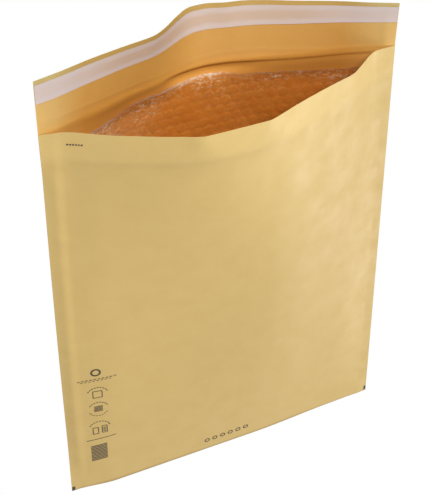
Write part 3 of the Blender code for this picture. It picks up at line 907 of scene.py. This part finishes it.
# Glue stripe and release liner
# A stripe of pressure-sensitive hot melt along the flap, warm and clear, and over it a strip of thin
# siliconised film, brown from the glue along its middle and greyer at its edges and towards its ends.
LINER_MARGIN = 0.0042
LINER_WIDTH = 0.0172
LINER_THICKNESS = 0.00010
LINER_DEPTH = PAPER_THICKNESS + 0.00025
GLUE_WIDTH = 0.0105
GLUE_THICKNESS = 0.00012
GLUE_DEPTH = PAPER_THICKNESS + 0.00005
LINER_HIGH = FLAP_LENGTH - LINER_MARGIN
LINER_LOW = LINER_HIGH - LINER_WIDTH
LINER_MIDDLE = (LINER_LOW + LINER_HIGH) / 2
GLUE_INSET = (LINER_WIDTH - GLUE_WIDTH) / 2
STRIP_END = WIDTH / 2 - 0.0003
STRIP_COLUMNS = 181
STRIP_ROWS = 9
STRIP_WAVE = 0.00005
STRIP_WAVE_CELL = 0.02
BORDER = (0.0040, 0.0082)
BORDER_WAVE = 0.004
END_TONE = (0.08, 0.17)
END_SHARE = 0.7


def strip_object(name, low, high, depth, thickness, seed):
    """A band along the flap's inner face between two heights on the flap, slightly waved."""
    across = np.linspace(-STRIP_END, STRIP_END, STRIP_COLUMNS)
    along = np.linspace(low, high, STRIP_ROWS)
    place, height = np.meshgrid(across, along)
    base = flap_surface(place, height)
    wave = STRIP_WAVE * (1 + soft_noise(place, height, STRIP_WAVE_CELL, seed)) + depth
    points = base + inward(base) * wave[..., None]
    made = sheet_object(name, points, np.stack([place, height], axis=-1), flip=True)
    solid = made.modifiers.new("film", "SOLIDIFY")
    solid.thickness = thickness
    solid.offset = -1
    sharpen_rims(made)
    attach(made, "root")
    return made


def strip_film(name, edge, middle, end, roughness, alpha):
    """A thin translucent band: one tone along its edges and another down the liner's middle line, with a
    border that a cloud drawn out along the band breaks up, and more and more of a third near its ends."""
    material, tree, shader = new_material(name, {"Roughness": roughness, "IOR": 1.5, "Alpha": alpha})
    place = sheet_place(tree)
    drawn_out = stretched(tree, place, (0.25, 1.6, 1.0))
    cloud = cloud_noise(tree, drawn_out, scale=260.0, detail=3.0, roughness=0.6)
    parts = node(tree, "ShaderNodeSeparateXYZ", {}, {0: place}).outputs
    distance = calculated(tree, "ABSOLUTE", calculated(tree, "SUBTRACT", parts["Y"], LINER_MIDDLE))
    wavy = calculated(tree, "MULTIPLY_ADD", cloud, BORDER_WAVE, distance)
    band = remapped(tree, wavy, given=BORDER, wanted=(1.0, 0.0), curve="SMOOTHSTEP")
    sideways = calculated(tree, "ABSOLUTE", parts["X"])
    near_end = remapped(tree, sideways, given=END_TONE, wanted=(0.0, END_SHARE), curve="SMOOTHSTEP")
    tone = blended(tree, near_end, blended(tree, band, edge, middle), end)
    tree.links.new(tone, shader.inputs["Base Color"])
    tree.links.new(bumped(tree, cloud, strength=0.3, distance=0.0004), shader.inputs["Normal"])
    return material


glue = strip_object(
    "glue_stripe", LINER_LOW + GLUE_INSET, LINER_HIGH - GLUE_INSET, GLUE_DEPTH, GLUE_THICKNESS, 71
)
glue.data.materials.append(strip_film("hot_melt_glue", "#D8A070", "#CF9668", "#D8A070", 0.35, 0.85))
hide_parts("adhesive_strip")
liner = strip_object("peel_off_liner", LINER_LOW, LINER_HIGH, LINER_DEPTH, LINER_THICKNESS, 71)
liner.data.materials.append(strip_film("siliconised_film", "#D4C1B6", "#CFB39B", "#DCCCC8", 0.45, 0.92))
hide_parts("release_liner")


# Floor and lights
# A white floor and even white light from all round, with four lamps: a narrow beam into the pocket, a
# broad one low on the right, a broad one high beyond the mouth, and a weak one on the left.
FLOOR_HALF = 4.0
FILL_STRENGTH = 0.43


def white_where_seen(tree):
    """1 for rays from the camera, a reflection or a transparent surface, and 0 for those that carry
    light."""
    path = node(tree, "ShaderNodeLightPath").outputs
    both = calculated(tree, "MAXIMUM", path["Is Camera Ray"], path["Is Glossy Ray"])
    return calculated(tree, "MAXIMUM", both, path["Is Transmission Ray"])


def floor_plane():
    """A flat square far larger than the view."""
    mesh = bpy.data.meshes.new("floor")
    corners = [(x * FLOOR_HALF, y * FLOOR_HALF, 0) for x, y in ((-1, -1), (1, -1), (1, 1), (-1, 1))]
    mesh.from_pydata(corners, [], [(0, 1, 2, 3)])
    made = bpy.data.objects.new("floor", mesh)
    bpy.context.scene.collection.objects.link(made)
    material, tree, shader = new_material(
        "white_floor", {"Base Color": linear("#C9C9C9"), "Roughness": 0.9, "Specular IOR Level": 0.1}
    )
    glow = node(tree, "ShaderNodeEmission", {"Color": (1, 1, 1, 1), "Strength": 1.0})
    halves = {0: white_where_seen(tree), 1: shader.outputs[0], 2: glow.outputs[0]}
    mixed = node(tree, "ShaderNodeMixShader", {}, halves)
    tree.links.new(mixed.outputs[0], tree.nodes["Material Output"].inputs["Surface"])
    made.data.materials.append(material)
    return made


def add_lamp(name, kind, place, aim_at, settings):
    """A lamp of one kind that faces a point, with its properties set by name."""
    data = bpy.data.lights.new(name, kind)
    for key, value in settings.items():
        setattr(data, key, value)
    made = bpy.data.objects.new(name, data)
    made.location = place
    made.rotation_euler = (Vector(aim_at) - Vector(place)).to_track_quat("-Z", "Y").to_euler()
    bpy.context.scene.collection.objects.link(made)


floor_plane()
add_lamp(
    "pocket_beam", "SPOT", (1.0, 1.5, 1.25), (-0.04, 0.16, 0.03),
    {"energy": 85, "spot_size": math.radians(8.5), "spot_blend": 1.0, "shadow_soft_size": 0.12},
)
add_lamp("right_lamp", "AREA", (1.9, -1.3, 1.0), (0.05, -0.05, 0.05), {"energy": 33, "size": 0.8})
add_lamp("mouth_lamp", "AREA", (-0.2, 1.6, 1.7), (0.0, 0.15, 0.05), {"energy": 27, "size": 0.7})
add_lamp("left_lamp", "AREA", (-1.5, 0.0, 0.7), (-0.1, 0.0, 0.05), {"energy": 3, "size": 0.7})
world = bpy.data.worlds.new("studio")
world.use_nodes = True
backdrop = world.node_tree.nodes["Background"]
backdrop.inputs["Color"].default_value = (1, 1, 1, 1)
seen = white_where_seen(world.node_tree)
strength = remapped(world.node_tree, seen, given=(0.0, 1.0), wanted=(FILL_STRENGTH, 1.0))
world.node_tree.links.new(strength, backdrop.inputs["Strength"])
bpy.context.scene.world = world
bpy.context.scene.view_settings.view_transform = "Standard"
